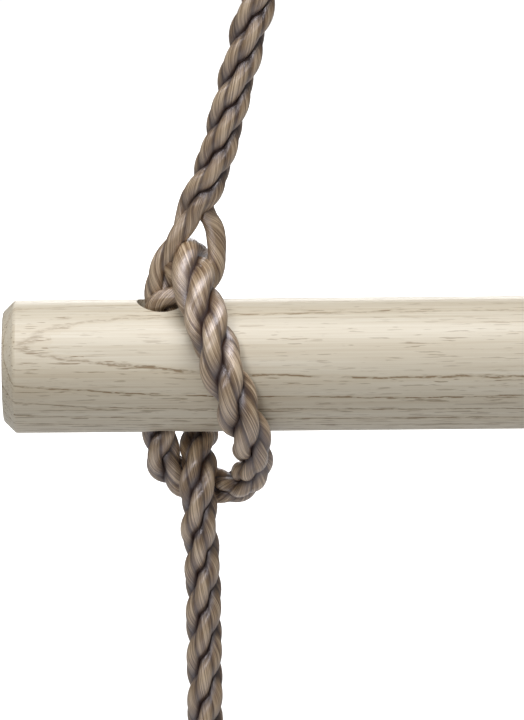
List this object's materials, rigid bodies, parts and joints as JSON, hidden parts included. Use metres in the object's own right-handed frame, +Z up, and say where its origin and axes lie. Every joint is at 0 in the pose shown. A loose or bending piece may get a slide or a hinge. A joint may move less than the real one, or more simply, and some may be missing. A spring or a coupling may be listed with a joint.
{
  "type": "rope ladder",
  "caption": "Escape rope ladder: round wooden rungs hitched between two laid side ropes that meet in a ring and spring hook.",
  "frame": {"origin": "inside of the spring hook's top bow, where the anchor bar carries the hanging ladder", "axes": "+X along the rungs to the viewer's right, +Y to the back, +Z up along the hanging ladder"},
  "size_m": [0.3, 0.0563, 1.338],
  "materials": {
    "rope": "twisted natural-coloured fibre with a slight sheen",
    "rung_wood": "pale hardwood, thin satin varnish",
    "whipping_twine": "waxed twine",
    "aluminium": "pressed, satin",
    "thimble_steel": "galvanised",
    "ring_steel": "zinc plated, welded",
    "zinc_steel": "zinc plated",
    "bright_steel": "plain bright steel"
  },
  "bodies": {
    "hook": {"hook_body": "zinc_steel", "latch_pin": "bright_steel"},
    "gate": {"hook_gate": "zinc_steel", "gate_rivet": "bright_steel", "gate_spring": "bright_steel"},
    "ring": {"master_ring": "ring_steel"},
    "first_rung": {"thimble_left": "thimble_steel", "thimble_right": "thimble_steel", "ferrule_left": "aluminium", "ferrule_right": "aluminium", "leg_rope_left": "rope", "leg_rope_right": "rope", "rung_1": "rung_wood", "hitch_left_1": "rope", "hitch_right_1": "rope"},
    "second_rung": {"bay_rope_left_1": "rope", "bay_rope_right_1": "rope", "rung_2": "rung_wood", "hitch_left_2": "rope", "hitch_right_2": "rope"},
    "third_rung": {"bay_rope_left_2": "rope", "bay_rope_right_2": "rope", "rung_3": "rung_wood", "hitch_left_3": "rope", "hitch_right_3": "rope"},
    "fourth_rung": {"bay_rope_left_3": "rope", "bay_rope_right_3": "rope", "rung_4": "rung_wood", "hitch_left_4": "rope", "hitch_right_4": "rope", "whipping_left": "whipping_twine", "whipping_right": "whipping_twine"}
  },
  "joints": [
    {"name": "gate_hinge", "type": "hinge", "parent": "hook", "child": "gate", "pos_m": [0, -0.01122, -0.04713], "axis": [-1, 0, 0], "range_deg": [0, 30], "stiffness_Nm_per_rad": 0.02, "springref_deg": -34.38},
    {"name": "ring_sway", "type": "hinge", "parent": "hook", "child": "ring", "pos_m": [0, 0, -0.068], "axis": [0, 1, 0], "range_deg": [-25, 25]},
    {"name": "ladder_swing", "type": "hinge", "parent": "ring", "child": "first_rung", "pos_m": [0, 0, -0.11087], "axis": [1, 0, 0], "range_deg": [-45, 45]},
    {"name": "second_rung_swing", "type": "hinge", "parent": "first_rung", "child": "second_rung", "pos_m": [0, 0, -0.54198], "axis": [1, 0, 0], "range_deg": [-50, 50]},
    {"name": "third_rung_swing", "type": "hinge", "parent": "second_rung", "child": "third_rung", "pos_m": [0, 0, -0.79198], "axis": [1, 0, 0], "range_deg": [-50, 50]},
    {"name": "fourth_rung_swing", "type": "hinge", "parent": "third_rung", "child": "fourth_rung", "pos_m": [0, 0, -1.04198], "axis": [1, 0, 0], "range_deg": [-50, 50]}
  ]
}
